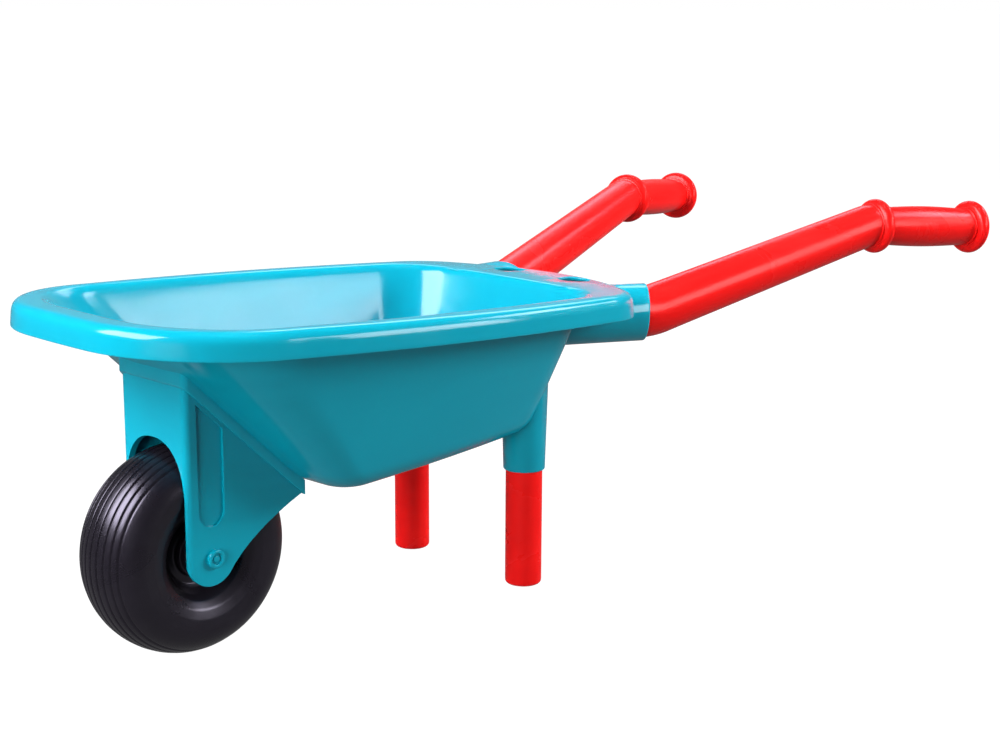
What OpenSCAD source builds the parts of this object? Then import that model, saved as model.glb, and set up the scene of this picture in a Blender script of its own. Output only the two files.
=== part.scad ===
// Child's garden wheelbarrow, moulded in plastic: a tub with a rolled rim, a fork clipped under its
// sloping front, one fat wheel on a pin, two plug-in handles and two plug-in legs.
// Millimetres, +Z up. The wheel points along -Y, the handles along +Y, the barrow's left side is +X.
// The origin is on the ground, under the middle of the whole object.

/* [Tub] */
// Half width of the rim at its corners
rim_half_w = 112; // [108:1:118]
// How far the rim's long sides bow outwards at the middle
rim_bow = 8.2; // [4:0.2:9]
// Length of the rim from its front edge to its rear edge
rim_len = 412; // [404:1:420]
// Corner radius of the rim at the front
rim_front_r = 84; // [70:1:90]
// Corner radius of the rim at the rear
rim_rear_r = 54; // [45:1:58]
// Half width of the tub's mouth at its corners
mouth_half_w = 96.6; // [94:0.2:98]
// Height of the skirt that hangs from the rim
rim_skirt_h = 16; // [12:0.2:18]
// How far the skirt leans out at its foot
skirt_flare = 1.6; // [0:0.2:2]
// Wall thickness of the tub
tub_wall = 2.4; // [2.2:0.1:2.6]
// Depth of the deck behind the opening
deck_len = 52.6; // [52:0.2:56]
// Diameter of the two tool holes in the deck
tool_hole_d = 22; // [16:0.5:22]
// Distance of each tool hole from the middle
tool_hole_x = 32; // [28:0.5:34]

/* [Wheel] */
// Diameter of the wheel over the tread
wheel_d = 130; // [124:1:132]
// Width of the wheel
wheel_w = 58.8; // [54:0.2:58.8]
// Number of tread grooves on each side of the middle one
side_grooves = 4; // [1:1:4]
// Depth of a tread groove
groove_depth = 0.9; // [0.4:0.1:1.2]
// Diameter of the axle pin
axle_d = 8; // [6:0.5:9]

/* [Fork] */
// Half width of the fork over its side plates
fork_half_w = 32.9; // [32.6:0.1:33.2]
// Thickness of the fork's plates
fork_wall = 2.5; // [2.2:0.1:2.6]
// Height of the arch that the wheel shows through
arch_top = 137; // [135:0.2:140]
// Height of the raised frame that the fork sits on
pad_h = 5.6; // [5:0.1:6]

/* [Handles and legs] */
// Diameter of a handle tube where it leaves its socket
tube_d = 35.9; // [34:0.1:36]
// Diameter of a handle tube at the collar
tube_end_d = 31.4; // [30:0.2:32]
// Length of the sloping tube, from the socket to the bend before the collar
tube_len = 204.4; // [195:0.1:215]
// Rise of the sloping tube in degrees
tube_rise = 13.7; // [12:0.1:15]
// How far the handles spread in degrees
handle_spread = 14.4; // [13:0.1:16]
// Length of the grip, from the middle of the collar to its end
grip_len = 103.4; // [98:0.1:108]
// Diameter of a leg
leg_d = 24.9; // [22:0.1:25]
// Distance of each leg from the middle
leg_x = 56.9; // [54:0.1:58]

/* [Hidden] */
$fn = 64;
wheel_r = wheel_d / 2;
axle_z = wheel_r;
axle_y = -283.5; // the axle's place along Y, which centres the whole object on the origin
fit_gap = 0.15; // between pieces that plug into each other
run_gap = 0.06; // between the axle pin and the bushes that turn on it

TEAL = "darkturquoise";
RED = "red";
BLACK = [0.08, 0.08, 0.09];

// ---- Places, measured back from the axle along Y and up from the ground along Z ----
rim_front_y = -79;
rim_rear_y = rim_front_y + rim_len;
rim_z0 = 213.8; // rim height over the axle
rim_fall = 0.047; // the rim falls towards the handles
floor_z0 = 91.2; // underside of the tub's floor, carried forward to the axle
floor_rise = 0.0785; // the floor rises towards the handles
function rim_z(y) = rim_z0 - rim_fall * y;
function floor_z(y) = floor_z0 + floor_rise * y;

// ---- Outlines: [half width, bow, front y, rear y, front radius, rear radius, front and rear sweep] ----
RIM = [rim_half_w, rim_bow, rim_front_y, rim_rear_y, rim_front_r, rim_rear_r, 2, 30];
MOUTH = [mouth_half_w + tub_wall, 5.4, -59.4, rim_rear_y - deck_len, 68, 40, 3, 6];
FLOOR = [70.5, 2, 69.8, 246.8, 22, 32, 2, 2];

arc_n = 10; // steps in a corner
side_n = 5; // points along a side
end_n = 3; // steps across half of an end

function inset(o, d) =
    [o[0] - d, o[1], o[2] + d, o[3] - d, max(o[4] - d, 3), max(o[5] - d, 3), o[6], o[7]];

// Right half of an outline, from the middle of the front to the middle of the rear
function half_outline(o) = let(
    front_x = o[0] - o[4] + o[4] * sin(o[6]),
    rear_x = o[0] - o[5] + o[5] * sin(o[7]),
    front_c = o[2] + front_x * tan(o[6]) / 2 + o[4] * cos(o[6]),
    rear_c = o[3] - rear_x * tan(o[7]) / 2 - o[5] * cos(o[7])
) concat(
    [for (i = [0 : end_n - 1]) let(s = i / end_n) [front_x * s, o[2] + front_x * tan(o[6]) / 2 * s * s]],
    [for (i = [0 : arc_n]) let(a = o[6] + (90 - o[6]) * i / arc_n)
        [o[0] - o[4] + o[4] * sin(a), front_c - o[4] * cos(a)]],
    [for (i = [1 : side_n]) let(s = i / (side_n + 1))
        [o[0] + 4 * o[1] * s * (1 - s), front_c + (rear_c - front_c) * s]],
    [for (i = [0 : arc_n]) let(a = (90 - o[7]) * i / arc_n)
        [o[0] - o[5] + o[5] * cos(a), rear_c + o[5] * sin(a)]],
    [for (i = [1 : end_n]) let(s = 1 - i / end_n) [rear_x * s, o[3] - rear_x * tan(o[7]) / 2 * s * s]]
);
function outline(o) = let(h = half_outline(o), n = len(h))
    concat(h, [for (i = [n - 2 : -1 : 1]) [-h[i][0], h[i][1]]]);
RING_N = len(outline(RIM));

// Rings in space: an outline at a depth below the rim's plane, or at a height over the floor's plane
function rim_ring(o, depth) = [for (p = outline(o)) [p[0], p[1], rim_z(p[1]) - depth]];
function floor_ring(o, up) = [for (p = outline(o)) [p[0], p[1], floor_z(p[1]) + up]];
function mix(a, b, t) = [for (i = [0 : len(a) - 1]) a[i] * (1 - t) + b[i] * t];

// Rings of a rounded corner that leaves ring a towards ring b and arrives at ring c
function blend(a, b, c, steps) =
    [for (k = [0 : steps]) let(t = k / steps) mix(mix(a, b, t), mix(b, c, t), t)];

// A solid through a stack of rings, closed by a flat face at each end
module ring_solid(rings) {
    n = len(rings[0]);
    points = [for (r = rings, p = r) p];
    sides = [for (k = [0 : len(rings) - 2], i = [0 : n - 1]) let(j = (i + 1) % n, a = k * n, b = a + n)
        each [[a + i, b + i, b + j], [a + i, b + j, a + j]]];
    first = [for (i = [0 : n - 1]) i];
    last = [for (i = [n - 1 : -1 : 0]) (len(rings) - 1) * n + i];
    polyhedron(points, concat([first], sides, [last]));
}

// Rings of a tub surface, from a flat floor up to the wall's top, d inside the outer skin
floor_corner = 12; // how far the floor's rounded edge reaches in
corner_up = 0.12; // how far up the wall it reaches, as a share of the wall
function wall_bottom(d) = let(top = rim_ring(inset(MOUTH, d), 0), foot = floor_ring(inset(FLOOR, d), d))
    blend(floor_ring(inset(FLOOR, d + floor_corner), d), foot, mix(foot, top, corner_up), 6);
function wall_at(d, up) = mix(floor_ring(inset(FLOOR, d), d), rim_ring(inset(MOUTH, d), 0), up);
function reversed(v) = [for (i = [len(v) - 1 : -1 : 0]) v[i]];

edge_r = 7.5; // outer edge of the rim
lip_r = 5; // inner edge of the rim

// The tub's skin: out along its underside, up the outer wall, round the skirt and rim, and down inside
module tub_shell() {
    foot = inset(RIM, -skirt_flare);
    shoulder = inset(RIM, -skirt_flare * edge_r / rim_skirt_h);
    ring_solid(concat(
        wall_bottom(0),
        [wall_at(0, 0.97), rim_ring(inset(RIM, tub_wall), tub_wall),
         rim_ring(inset(foot, tub_wall), rim_skirt_h), rim_ring(foot, rim_skirt_h)],
        blend(rim_ring(shoulder, edge_r), rim_ring(RIM, 0), rim_ring(inset(RIM, edge_r), 0), 4),
        blend(rim_ring(inset(MOUTH, tub_wall - lip_r), 0), rim_ring(inset(MOUTH, tub_wall), 0),
              wall_at(tub_wall, 0.94), 4),
        reversed(wall_bottom(tub_wall))
    ));
}

// Everything inside the middle of the tub's wall, which the sockets, sleeves and frame stop at
module tub_inside() {
    d = tub_wall / 2;
    ring_solid(concat(wall_bottom(d), [rim_ring(inset(MOUTH, d), 0), rim_ring(inset(MOUTH, d), -20)]));
}

// ---- Front frame and fork: drawn in the YZ plane and extruded across ----
wall_slope = (rim_z(MOUTH[2]) - floor_z(FLOOR[2])) / (FLOOR[2] - MOUTH[2]);
wall_angle = atan(wall_slope);
function wall_z(y) = rim_z(MOUTH[2]) - wall_slope * (y - MOUTH[2]);
function seam_z(y) = wall_z(y) - pad_h / cos(wall_angle);
pad_over = 1.6; // the frame stands out past the fork all round
pad_front_y = -19.8;
pad_rear_y = 67.5;
fork_front_y = -18.6;
fork_rear_y = 66;
lug_r = 16.8;
lug_y = -1.9; // the lug's round sits a little ahead of the axle
fork_edge_r = 4; // its upright front corners, and the frame's
arch_half_w = 30.1;
arch_foot_z = 100.5;
arch_power = 2.3; // a little squarer than an ellipse
arch_lip = 1.8; // depth of the turned-in edge behind the arch

module across(width) {
    rotate([90, 0, 90])
        linear_extrude(height = width, center = true) children();
}

// Places its children on the tub's front wall: X across, Y down the slope, Z into the tub
module on_front_wall(y) {
    translate([0, y, wall_z(y)]) rotate([-wall_angle, 0, 0]) children();
}

// An upright block with rounded front corners, open-ended behind
module rounded_front(half_w, front_y, r) {
    linear_extrude(height = 260) {
        translate([r - half_w, front_y]) square([2 * (half_w - r), 150]);
        translate([-half_w, front_y + r]) square([2 * half_w, 150 - r]);
        for (side = [-1, 1]) translate([side * (half_w - r), front_y + r]) circle(r);
    }
}

module front_frame() {
    rail = fork_wall + 1.2;
    under = tub_wall * 0.6 / cos(wall_angle);
    difference() {
        intersection() {
            across(2 * (fork_half_w + pad_over)) polygon([
                [pad_front_y, seam_z(pad_front_y)], [pad_rear_y, seam_z(pad_rear_y)],
                [pad_rear_y + 4, wall_z(pad_rear_y + 4)], [pad_rear_y + 4, wall_z(pad_rear_y + 4) + under],
                [pad_front_y, wall_z(pad_front_y) + under]]);
            rounded_front(fork_half_w + pad_over, pad_front_y, fork_edge_r);
        }
        across(2 * (fork_half_w + pad_over - rail)) polygon([
            [pad_front_y + rail, seam_z(pad_front_y + rail) - 2],
            [pad_rear_y - rail, seam_z(pad_rear_y - rail) - 2],
            [pad_rear_y - rail, wall_z(pad_rear_y - rail)],
            [pad_front_y + rail, wall_z(pad_front_y + rail)]]);
    }
}

// The fork's clips: tongues that pass the frame and the wall and hook inside the tub
clip_w = 12;
clip_t = 2.2;
clip_places = [-2, 34];
clip_reach = 4; // from the wall's outside to the underside of the hooks
module clips(gap) {
    for (side = [-1, 1], y = clip_places)
        on_front_wall(y)
            translate([side * (fork_half_w - fork_wall / 2), 0, (clip_reach - pad_h) / 2])
                cube([clip_t + 2 * gap, clip_w + 2 * gap, pad_h + clip_reach + 2 * gap], center = true);
}
module clip_hooks() {
    for (side = [-1, 1], y = clip_places)
        on_front_wall(y)
            translate([side * (fork_half_w - fork_wall / 2 - 0.8), 0, clip_reach + 0.9])
                cube([clip_t + 1.6, clip_w, 1.8], center = true);
}

function bezier(a, b, c, steps) =
    [for (k = [0 : steps]) let(t = k / steps) a * (1 - t) * (1 - t) + b * 2 * t * (1 - t) + c * t * t];

lug_out = 319; // where the lug's round leaves for the sloping rear edge, in degrees
module fork_outline() {
    polygon(concat(
        [[fork_front_y - 1, seam_z(fork_front_y - 1)], [fork_front_y - 1, axle_z]],
        [for (k = [0 : 14]) let(a = 180 + (lug_out - 180) * k / 14)
            [lug_y + lug_r * cos(a), axle_z + lug_r * sin(a)]],
        bezier([lug_y + lug_r * cos(lug_out), axle_z + lug_r * sin(lug_out)], [26, 75],
               [fork_rear_y, seam_z(fork_rear_y)], 8)
    ));
}

// Stiffening groove pressed into the outside of each side plate, cut off by the frame's slope
groove_y = -1.3;
groove_half_w = 9.3;
groove_foot_z = 94.2;
plate_groove = 1.8;
module plate_grooves() {
    margin = 3;
    for (side = [-1, 1])
        translate([side * (fork_half_w - plate_groove / 2), 0, 0])
            across(plate_groove) {
                translate([groove_y, groove_foot_z]) circle(groove_half_w);
                polygon([[groove_y - groove_half_w, groove_foot_z],
                    [groove_y + groove_half_w, groove_foot_z],
                    [groove_y + groove_half_w, seam_z(groove_y + groove_half_w) - margin],
                    [groove_y - groove_half_w, seam_z(groove_y - groove_half_w) - margin]]);
            }
}

// Half a squared ellipse over straight legs, in X and Z
module arch_outline(grow, foot_z) {
    half = [for (k = [0 : 12]) let(a = 90 * k / 12)
        [(arch_half_w + grow) * pow(cos(a), 2 / arch_power),
         arch_foot_z + (arch_top + grow - arch_foot_z) * pow(sin(a), 2 / arch_power)]];
    polygon(concat([[arch_half_w + grow, foot_z]], half,
        [for (k = [11 : -1 : 0]) [-half[k][0], half[k][1]]], [[-arch_half_w - grow, foot_z]]));
}

// Stands its children's X and Y up as X and Z, from a front face back to a rear face
module upright(front_y, rear_y) {
    translate([0, rear_y, 0]) rotate([90, 0, 0])
        linear_extrude(height = rear_y - front_y) children();
}

module fork() {
    lip_y = fork_front_y + fork_wall + arch_lip;
    inner_w = 2 * (fork_half_w - fork_wall);
    color(TEAL) difference() {
        union() {
            difference() {
                intersection() {
                    across(2 * fork_half_w + 10) fork_outline();
                    rounded_front(fork_half_w, fork_front_y, fork_edge_r);
                }
                translate([-inner_w / 2, fork_front_y + fork_wall, 0]) cube([inner_w, 200, 300]);
            }
            upright(lip_y - arch_lip - fork_wall / 2, lip_y) arch_outline(2, arch_foot_z);
            clips(0);
            clip_hooks();
        }
        upright(fork_front_y - 1, lip_y + 1) arch_outline(0, axle_z - lug_r - 5);
        plate_grooves();
        translate([0, 0, axle_z]) rotate([0, 90, 0])
            cylinder(r = axle_d / 2 + run_gap, h = 100, center = true);
    }
}

// ---- Handles: two plugs, tubes and grips, each in an upright plane that leans out ----
socket_mouth = [71.7, 341.4, 177.6];
socket_r = 20;
socket_len = 74;
socket_fall = 2.5; // degrees
mouth_turn = 24; // the socket's end is cut this much further out than square
plug_len = 58;
bend_out = 3; // the tube bends this far past the socket's mouth
elbow_bulge = 0.25;
collar_y0 = 8; // from the tube's upper bend to the middle of the collar
collar_r = 20.3;
grip_r = 15.4;
grip_end_r = 14;
grip_fall = 3.8; // degrees
tube_wall = 2.2;

// Places its children in a handle's plane: Y along the handle, Z up, from the socket's mouth
module in_handle_plane() {
    translate(socket_mouth) rotate([0, 0, -handle_spread]) children();
}
// Lays a solid of revolution along Y, tilted up by an angle
module lay(angle) {
    rotate([angle - 90, 0, 0]) children();
}
bend_y = bend_out * cos(socket_fall);
bend_z = -bend_out * sin(socket_fall);
grip_y = bend_y + tube_len * cos(tube_rise);
grip_z = bend_z + tube_len * sin(tube_rise);

// Plug, ball elbow and sloping tube, with their radius grown by a margin
module handle_tube(grow) {
    r = tube_d / 2 + grow;
    lay(-socket_fall) translate([0, 0, -plug_len]) cylinder(r = r, h = plug_len + bend_out);
    translate([0, bend_y, bend_z]) {
        sphere(r + elbow_bulge);
        lay(tube_rise) cylinder(r1 = r, r2 = tube_end_d / 2 + grow, h = tube_len);
    }
}

// Collar, barrel grip and end flange as one turned profile along the grip, from the tube's bend
ring_half_w = 4.6;
ring_round = 4.6;
step_w = 2;
step_h = 1.2;
function turned_ring(y) = [for (k = [0 : 8]) let(a = -72 + 18 * k)
    [collar_r - ring_round + ring_round * cos(a), y + ring_half_w * sin(a)]];
module grip_profile() {
    neck_r = tube_end_d / 2;
    flange_y = grip_len - ring_half_w - 1;
    barrel_y = ring_half_w + 1;
    barrel_len = flange_y - ring_half_w - step_w - 1 - barrel_y;
    polygon(concat(
        [[0, -collar_y0], [neck_r, -collar_y0], [neck_r, -ring_half_w - step_w],
         [neck_r + step_h, -ring_half_w - step_w + 0.4], [neck_r + step_h, -ring_half_w - 0.6],
         [neck_r + step_h / 2, -ring_half_w]],
        turned_ring(0),
        [for (k = [0 : 10]) let(s = k / 10)
            [grip_end_r + (grip_r - grip_end_r) * sin(180 * s), barrel_y + barrel_len * s]],
        [[grip_end_r + step_h, flange_y - ring_half_w - step_w],
         [grip_end_r + step_h, flange_y - ring_half_w]],
        turned_ring(flange_y),
        [[collar_r * 0.45, grip_len - 0.4], [0, grip_len]]
    ));
}

// Places its children at the tube's upper bend, with Z along the grip from the collar's middle
module on_grip() {
    translate([0, grip_y, grip_z]) lay(-grip_fall) translate([0, 0, collar_y0]) children();
}

module handle() {
    color(RED) in_handle_plane() difference() {
        union() {
            handle_tube(0);
            translate([0, grip_y, grip_z]) sphere(tube_end_d / 2 + elbow_bulge);
            on_grip() rotate_extrude() grip_profile();
        }
        translate([0, -1, 0]) handle_tube(-tube_wall);
        on_grip() translate([0, 0, -collar_y0 - 4])
            cylinder(r = grip_end_r - tube_wall, h = grip_len + collar_y0);
    }
}

// ---- Sockets, leg sleeves and the tub ----
module socket_outside() {
    in_handle_plane() difference() {
        lay(-socket_fall) translate([0, 0, -socket_len]) cylinder(r = socket_r, h = socket_len + 20);
        rotate([0, 0, -mouth_turn]) translate([-60, 0, -60]) cube([120, 60, 120]);
    }
}

leg_y = 237.5;
sleeve_r = 14.1;
sleeve_z = 80.9;
leg_top = 105.5;
module sleeve_outside() {
    chamfer = 1;
    draft = 1.8; // the sleeve widens by this much up to the tub
    translate([leg_x, leg_y, sleeve_z]) {
        cylinder(r1 = sleeve_r - chamfer, r2 = sleeve_r, h = chamfer);
        translate([0, 0, chamfer]) cylinder(r1 = sleeve_r, r2 = sleeve_r + draft, h = 64);
    }
}

tool_hole_y = 311.5;
module tool_hole() {
    translate([tool_hole_x, tool_hole_y, rim_z(tool_hole_y)]) rotate([-atan(rim_fall), 0, 0])
        cylinder(r = tool_hole_d / 2, h = 12, center = true);
}

module both_sides() {
    children();
    mirror([1, 0, 0]) children();
}

module tub() {
    color(TEAL) difference() {
        union() {
            tub_shell();
            difference() {
                union() {
                    both_sides() {
                        socket_outside();
                        sleeve_outside();
                    }
                    front_frame();
                }
                tub_inside();
            }
        }
        both_sides() {
            in_handle_plane() handle_tube(fit_gap);
            translate([leg_x, leg_y, 0]) cylinder(r = leg_d / 2 + fit_gap, h = leg_top);
            tool_hole();
        }
        clips(0.2);
    }
}

// ---- Wheel, hub and axle: turned about Z, then laid across the barrow ----
tyre_mid_r = wheel_r - 19.2; // radius at which the tyre is widest
tyre_power = 2;
wheel_wall = 2.4;
boss_r = 15;
boss_x = 18;
hub_hole_r = 8.05;
bush_r = 8;

module on_axle() {
    translate([0, 0, axle_z]) rotate([0, 90, 0]) children();
}

// Points of the tyre's section from the middle of the tread to its side, grown inwards by a margin
function tyre_side(d) = [for (k = [0 : 12]) let(a = 90 - 7.5 * k)
    [tyre_mid_r + (wheel_r - tyre_mid_r - d) * pow(sin(a), 2 / tyre_power),
     (wheel_w / 2 - d) * pow(cos(a), 2 / tyre_power)]];
// Points of the dished side from the tyre to the hub's hole
function dish(d) = [[39, 28.4 - d], [33, 26.6 - d], [28.4, 23.6 - d], [25.2 + d * 0.4, 19.4 - d],
    [22.6, 14 - d], [20, 12 - d], [boss_r - d, 12 - d], [boss_r - d, boss_x - d - 1],
    [boss_r - d - 1, boss_x - d], [hub_hole_r, boss_x - d]];
function mirrored(v) = [for (i = [len(v) - 1 : -1 : 0]) [v[i][0], -v[i][1]]];
function tread_r(x) = let(side = pow(abs(x) / (wheel_w / 2), tyre_power))
    tyre_mid_r + (wheel_r - tyre_mid_r) * pow(1 - side, 1 / tyre_power);
function groove_x(i) = 5.7 * i - 0.036 * i * i * i; // grooves draw together towards the sides

module wheel_section(d) {
    half = concat(tyre_side(d), dish(d));
    polygon(concat(half, mirrored(half)));
}

module wheel() {
    groove_w = 0.8;
    color(BLACK) on_axle() rotate_extrude($fn = 128) difference() {
        wheel_section(0);
        wheel_section(wheel_wall);
        for (i = [-side_grooves : side_grooves]) {
            x = groove_x(abs(i)) * sign(i);
            r = tread_r(x);
            polygon([[r - groove_depth, x - groove_w * 0.25], [r + 0.6, x - groove_w],
                [r + 0.6, x + groove_w], [r - groove_depth, x + groove_w * 0.25]]);
        }
    }
}

// A bush pressed into the hub's hole, long enough to hold the wheel off the side plate
bush_flange_r = 11;
module hub_bush(side) {
    bush_end = fork_half_w - fork_wall - 0.4;
    color("dimgray") mirror([side < 0 ? 1 : 0, 0, 0]) on_axle() difference() {
        union() {
            translate([0, 0, boss_x - 9]) cylinder(r = bush_r, h = 9);
            translate([0, 0, boss_x]) cylinder(r = bush_flange_r, h = 2);
            translate([0, 0, boss_x + 2]) cylinder(r = axle_d / 2 + 2.4, h = bush_end - boss_x - 2);
        }
        cylinder(r = axle_d / 2 + run_gap, h = 60);
    }
}

cap_r = 5.8;
cap_len = 2.6;
module axle_pin() {
    color(TEAL) on_axle() union() {
        cylinder(r = axle_d / 2, h = 2 * fork_half_w, center = true);
        cylinder(r = 2.3, h = 2 * (fork_half_w + cap_len - 0.6), center = true);
    }
}
module axle_cap(side) {
    color(TEAL) mirror([side < 0 ? 1 : 0, 0, 0]) on_axle() translate([0, 0, fork_half_w]) difference() {
        union() {
            cylinder(r = cap_r, h = cap_len - 0.8);
            translate([0, 0, cap_len - 0.8]) cylinder(r1 = cap_r, r2 = cap_r - 0.8, h = 0.8);
        }
        cylinder(r = 2.35, h = 3 * cap_len, center = true);
        translate([0, 0, cap_len - 1.3]) cylinder(r = 3.6, h = 3);
    }
}

module leg() {
    foot_round = 3;
    color(RED) translate([leg_x, leg_y, 0]) rotate_extrude() difference() {
        union() {
            translate([0, foot_round]) square([leg_d / 2, leg_top - foot_round]);
            square([leg_d / 2 - foot_round, foot_round + 1]);
            translate([leg_d / 2 - foot_round, foot_round]) circle(foot_round);
        }
        translate([-10, 0]) square([10, leg_top]);
        translate([0, 2.4]) square([leg_d / 2 - tube_wall, leg_top]);
    }
}

module place() {
    translate([0, axle_y, 0]) children();
}

place() tub();
place() fork();
place() wheel();
place() hub_bush(1);  // hub_bush_left
place() hub_bush(-1);  // hub_bush_right
place() axle_pin();
place() axle_cap(1);  // axle_cap_left
place() axle_cap(-1);  // axle_cap_right
place() handle();  // handle_left
place() mirror([1, 0, 0]) handle();  // handle_right
place() leg();  // leg_left
place() mirror([1, 0, 0]) leg();  // leg_right
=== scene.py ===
import math

import bmesh
import bpy
import numpy as np
from mathutils import Matrix, Vector


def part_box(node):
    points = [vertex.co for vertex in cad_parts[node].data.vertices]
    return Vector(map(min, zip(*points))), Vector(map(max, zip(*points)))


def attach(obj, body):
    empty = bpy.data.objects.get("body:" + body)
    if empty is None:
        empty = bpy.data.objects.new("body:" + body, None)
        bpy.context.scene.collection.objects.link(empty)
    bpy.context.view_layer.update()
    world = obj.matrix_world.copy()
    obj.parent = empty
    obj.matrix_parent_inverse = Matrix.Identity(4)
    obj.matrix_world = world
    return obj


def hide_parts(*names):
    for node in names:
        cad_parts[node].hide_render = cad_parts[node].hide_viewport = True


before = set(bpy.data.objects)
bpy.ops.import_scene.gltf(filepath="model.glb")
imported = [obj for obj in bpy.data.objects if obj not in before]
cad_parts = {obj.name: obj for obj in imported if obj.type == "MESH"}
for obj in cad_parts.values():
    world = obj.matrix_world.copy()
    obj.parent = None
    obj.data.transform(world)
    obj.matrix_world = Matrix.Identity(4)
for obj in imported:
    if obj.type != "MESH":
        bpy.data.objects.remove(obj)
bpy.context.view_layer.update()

# Lengths in this script are millimetres, measured back from the axle along Y and up from the ground
# along Z, as in the part's own source. to_row() turns them into metres in the row frame.
MM = 0.001
wheel_low, wheel_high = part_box("wheel")
AXLE_Y = (wheel_low.y + wheel_high.y) / 2
WHEEL_R = (wheel_high.z - wheel_low.z) / 2 / MM
WHEEL_HALF_W = (wheel_high.x - wheel_low.x) / 2 / MM
AXLE_Z = (wheel_high.z + wheel_low.z) / 2 / MM


def to_row(points):
    """Millimetres from the axle into metres in the row frame."""
    p = np.asarray(points, float) * MM
    p[..., 1] += AXLE_Y
    return p


# ---------------------------------------------------------------- meshes


def new_mesh_object(name, verts, faces):
    mesh = bpy.data.meshes.new(name)
    mesh.from_pydata([tuple(v) for v in verts], [], faces)
    mesh.validate()
    obj = bpy.data.objects.new(name, mesh)
    bpy.context.scene.collection.objects.link(obj)
    return obj


def ring_faces(rows, cols, first_cap=True, last_cap=True):
    """Quads of a closed tube of rings, with a flat face over each end that is asked for."""
    faces = []
    for k in range(rows - 1):
        a, b = k * cols, (k + 1) * cols
        for i in range(cols):
            j = (i + 1) % cols
            faces.append((a + i, a + j, b + j, b + i))
    if first_cap:
        faces.append(tuple(range(cols - 1, -1, -1)))
    if last_cap:
        faces.append(tuple((rows - 1) * cols + i for i in range(cols)))
    return faces


def ring_object(name, rings):
    """A closed solid through a stack of rings that all have the same number of points."""
    rings = np.asarray(rings, float)
    obj = new_mesh_object(name, to_row(rings.reshape(-1, 3)), ring_faces(len(rings), len(rings[0])))
    face_outwards(obj)
    return obj


def face_outwards(obj):
    bm = bmesh.new()
    bm.from_mesh(obj.data)
    bmesh.ops.recalc_face_normals(bm, faces=bm.faces)
    bm.to_mesh(obj.data)
    bm.free()


def lathe(name, profile, axis_matrix, steps=96):
    """A solid of revolution. The profile is [radius, height] pairs, from the axis back to the axis or
    as a closed loop away from it; axis_matrix turns its local Z to the real axis, in millimetres."""
    p = np.asarray(profile, float)
    verts, rows = [], []
    for r, h in p:
        if r < 1e-6:
            rows.append([len(verts)])
            verts.append((0, 0, h))
        else:
            rows.append(list(range(len(verts), len(verts) + steps)))
            for i in range(steps):
                a = 2 * math.pi * i / steps
                verts.append((r * math.cos(a), r * math.sin(a), h))
    faces = []
    closed = len(rows[0]) > 1
    pairs = list(zip(rows, rows[1:])) + ([(rows[-1], rows[0])] if closed else [])
    for a, b in pairs:
        for i in range(steps):
            j = (i + 1) % steps
            if len(a) == 1 and len(b) == 1:
                continue
            if len(a) == 1:
                faces.append((a[0], b[j], b[i]))
            elif len(b) == 1:
                faces.append((a[i], a[j], b[0]))
            else:
                faces.append((a[i], a[j], b[j], b[i]))
    world = np.array([axis_matrix @ Vector(v) for v in verts], float)
    obj = new_mesh_object(name, to_row(world), faces)
    face_outwards(obj)
    return obj


def rounded(points, radii, steps=5):
    """A polyline with its inner corners rounded: each corner point gets a radius, 0 for a plain point."""
    pts = [np.asarray(p, float) for p in points]
    out = [pts[0]]
    for i in range(1, len(pts) - 1):
        r = radii[i]
        if r <= 0:
            out.append(pts[i])
            continue
        a, b = pts[i - 1] - pts[i], pts[i + 1] - pts[i]
        la, lb = np.linalg.norm(a), np.linalg.norm(b)
        a, b = a / la, b / lb
        half = math.acos(max(-1.0, min(1.0, float(a @ b)))) / 2
        t = min(r / math.tan(half), la * 0.49, lb * 0.49)
        start, end = pts[i] + a * t, pts[i] + b * t
        for k in range(steps + 1):
            s = k / steps
            out.append((1 - s) ** 2 * start + 2 * s * (1 - s) * pts[i] + s**2 * end)
    out.append(pts[-1])
    return np.array(out)


def boolean(obj, other, operation):
    """obj with another closed mesh added or taken away; the other mesh is used up."""
    modifier = obj.modifiers.new("cut", "BOOLEAN")
    modifier.operation = operation
    modifier.object = other
    modifier.solver = "MANIFOLD"
    apply_modifiers(obj)
    bpy.data.objects.remove(other)
    return obj


def apply_modifiers(obj):
    bpy.context.view_layer.update()
    graph = bpy.context.evaluated_depsgraph_get()
    mesh = bpy.data.meshes.new_from_object(obj.evaluated_get(graph))
    obj.modifiers.clear()
    old = obj.data
    obj.data = mesh
    bpy.data.meshes.remove(old)


def join(name, objects):
    """Several separate meshes as one object."""
    bm = bmesh.new()
    for o in objects:
        bm.from_mesh(o.data)
        bpy.data.objects.remove(o)
    mesh = bpy.data.meshes.new(name)
    bm.to_mesh(mesh)
    bm.free()
    obj = bpy.data.objects.new(name, mesh)
    bpy.context.scene.collection.objects.link(obj)
    return obj


def mirrored(name, obj):
    """A copy of obj on the other side of the YZ plane."""
    mesh = obj.data.copy()
    mesh.transform(Matrix.Scale(-1, 4, (1, 0, 0)))
    mesh.flip_normals()
    copy = bpy.data.objects.new(name, mesh)
    bpy.context.scene.collection.objects.link(copy)
    return copy


def shade(obj, degrees):
    """Smooth shading, apart from edges that turn by more than so many degrees."""
    obj.data.shade_smooth()
    obj.data.set_sharp_from_angle(angle=math.radians(degrees))


def finish_piece(obj, material, body, slot, *nodes):
    obj.data.materials.clear()
    obj.data.materials.append(material)
    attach(obj, body)
    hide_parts(*nodes)


def finish_pair(left, name, material, body, slot):
    """A left piece and its mirror image, which stand for the nodes name_left and name_right."""
    right = mirrored(name + "_right_visual", left)
    for obj, node in ((left, name + "_left"), (right, name + "_right")):
        shade(obj, 40)
        finish_piece(obj, material, body, slot, node)


# ---------------------------------------------------------------- camera

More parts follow.
